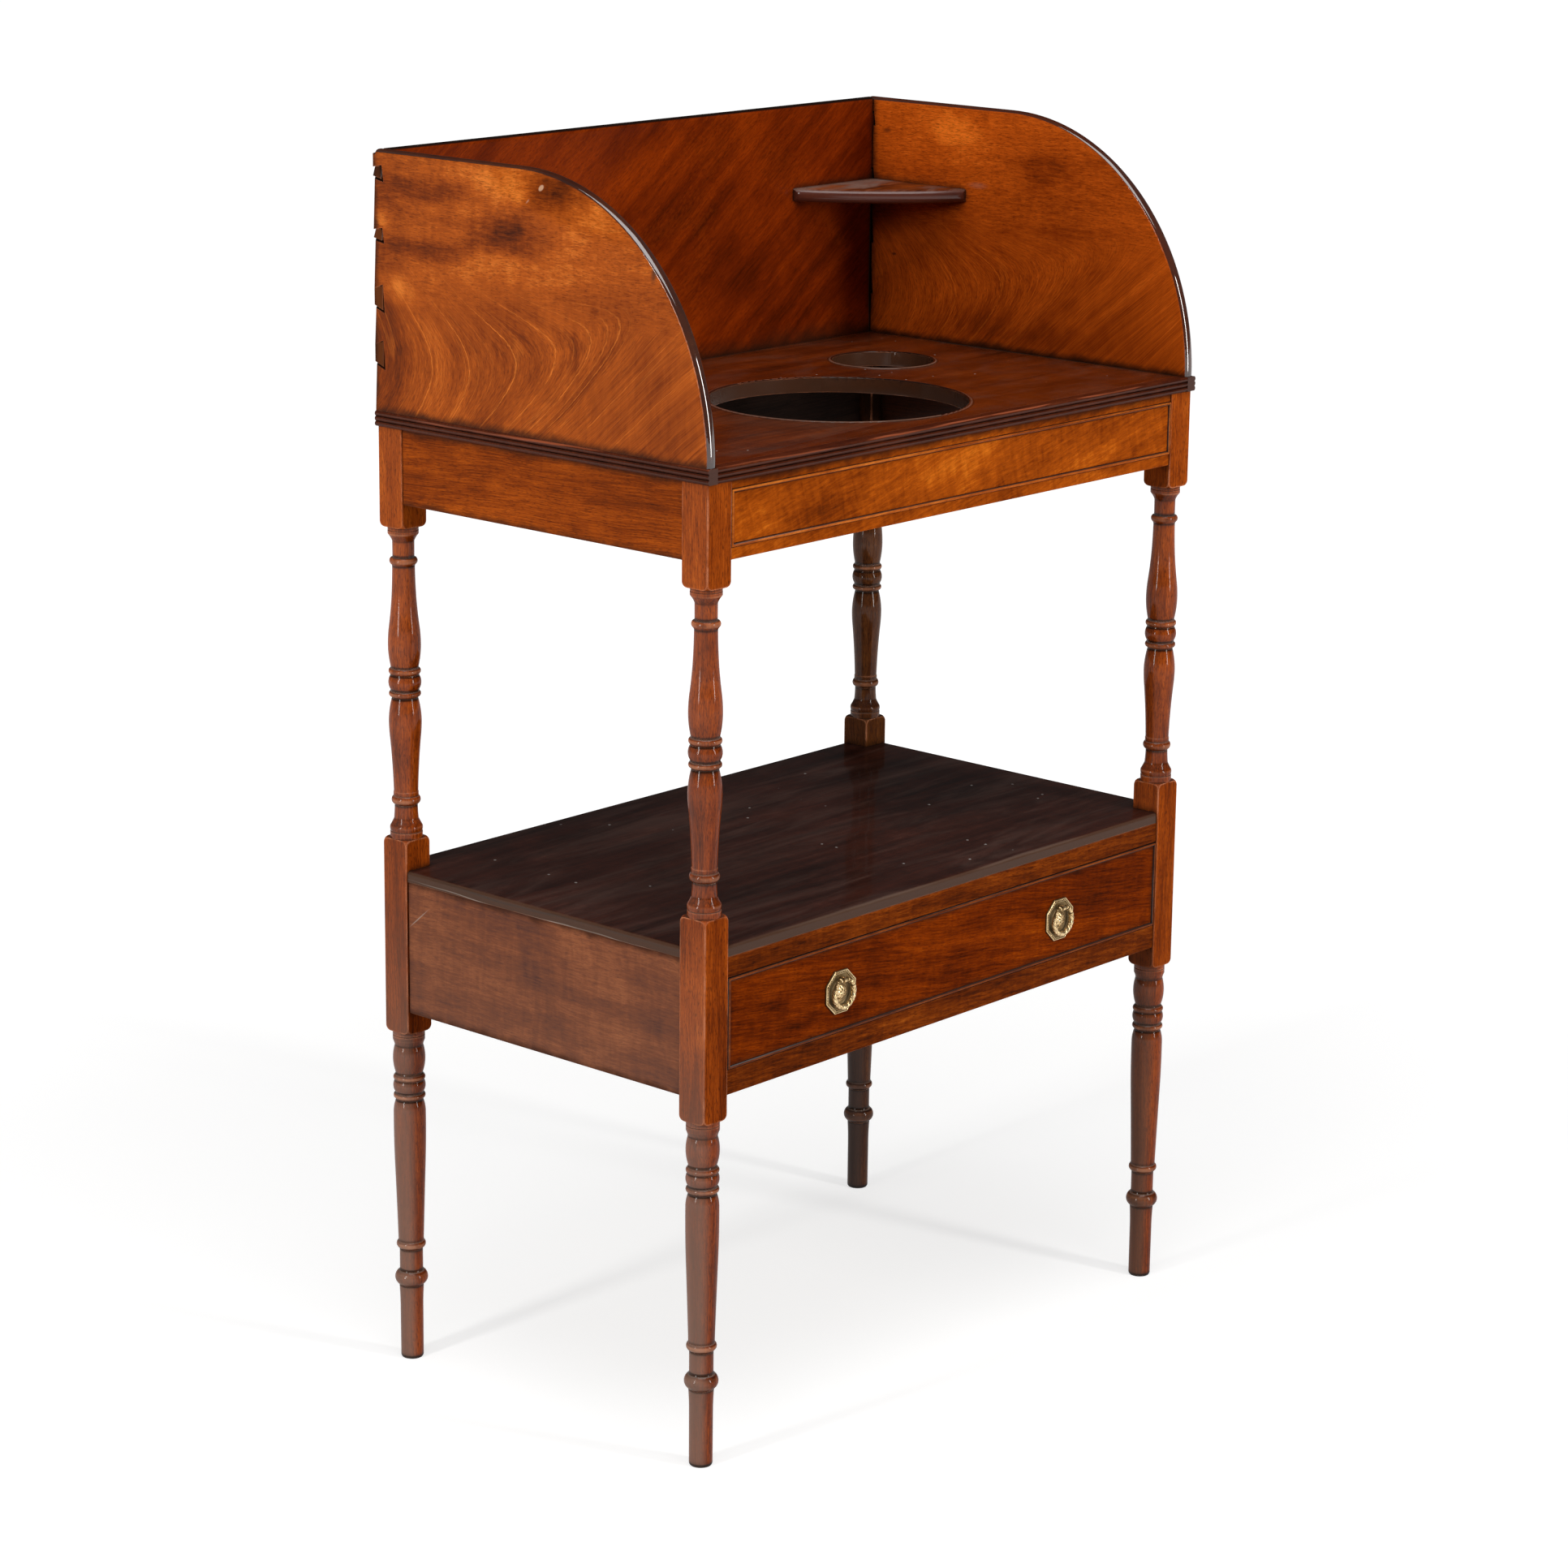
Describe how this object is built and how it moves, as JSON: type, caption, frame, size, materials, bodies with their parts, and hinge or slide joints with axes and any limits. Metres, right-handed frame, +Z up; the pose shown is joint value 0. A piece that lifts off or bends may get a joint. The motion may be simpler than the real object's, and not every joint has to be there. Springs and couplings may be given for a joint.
{
  "type": "washstand",
  "caption": "Small four-post washstand: turned legs, pierced top for a basin with a curved gallery and corner shelves, open lower shelf over a drawer with ring pulls.",
  "frame": {"origin": "on the floor, at the middle of the whole footprint", "axes": "+Z up, +X to the stand's right seen from the front, +Y to the back; the drawer opens along -Y"},
  "size_m": [0.598, 0.3596, 1],
  "materials": {
    "mahogany_posts": "polished, worn on the arrises",
    "mahogany_gallery": "polished, flame figured",
    "mahogany_frieze": "polished",
    "mahogany_top": "dark polished, worn",
    "mahogany_shelf": "dark, dusty satin",
    "mahogany_beads": "polished",
    "oak_linings": "bare, dry",
    "pine_blocks": "bare, dry",
    "aged_brass": "cast, aged and rubbed"
  },
  "bodies": {
    "stand": {"post_front_left": "mahogany_posts", "post_front_right": "mahogany_posts", "post_back_left": "mahogany_posts", "post_back_right": "mahogany_posts", "gallery_back": "mahogany_gallery", "gallery_side_left": "mahogany_gallery", "gallery_side_right": "mahogany_gallery", "frieze_front": "mahogany_frieze", "frieze_side_left": "mahogany_frieze", "frieze_side_right": "mahogany_frieze", "frieze_back": "pine_blocks", "frieze_beads": "mahogany_beads", "top_board": "mahogany_top", "top_strip_front": "mahogany_top", "top_strip_left": "mahogany_top", "top_strip_right": "mahogany_top", "corner_shelf_left": "mahogany_top", "corner_shelf_right": "mahogany_top", "shelf_board": "mahogany_shelf", "case_side_left": "mahogany_frieze", "case_side_right": "mahogany_frieze", "drawer_rail_lower": "mahogany_frieze", "drawer_rail_upper": "mahogany_frieze", "case_back": "pine_blocks", "glue_blocks": "pine_blocks", "drawer_runner_left": "pine_blocks", "drawer_runner_right": "pine_blocks", "drawer_guide_left": "pine_blocks", "drawer_guide_right": "pine_blocks", "drawer_kicker_left": "pine_blocks", "drawer_kicker_right": "pine_blocks", "drawer_stops": "pine_blocks", "gallery_dowels": "pine_blocks"},
    "drawer": {"drawer_front": "mahogany_frieze", "drawer_beads": "mahogany_beads", "drawer_side_left": "oak_linings", "drawer_side_right": "oak_linings", "drawer_back": "oak_linings", "drawer_bottom": "oak_linings", "pull_plate_left": "aged_brass", "pull_plate_right": "aged_brass", "pull_boss_left": "aged_brass", "pull_boss_right": "aged_brass", "pull_nut_left": "aged_brass", "pull_nut_right": "aged_brass", "pull_pin_left": "aged_brass", "pull_pin_right": "aged_brass"},
    "ring_left": {"pull_ring_left": "aged_brass"},
    "ring_right": {"pull_ring_right": "aged_brass"}
  },
  "joints": [
    {"name": "drawer_slide", "type": "slide", "parent": "stand", "child": "drawer", "axis": [0, -1, 0], "range_m": [0, 0.24]},
    {"name": "ring_left_hinge", "type": "hinge", "parent": "drawer", "child": "ring_left", "pos_m": [-0.1385, -0.17755, 0.36798], "axis": [-1, 0, 0], "range_deg": [0, 100]},
    {"name": "ring_right_hinge", "type": "hinge", "parent": "drawer", "child": "ring_right", "pos_m": [0.1385, -0.17755, 0.36798], "axis": [-1, 0, 0], "range_deg": [0, 100]}
  ]
}
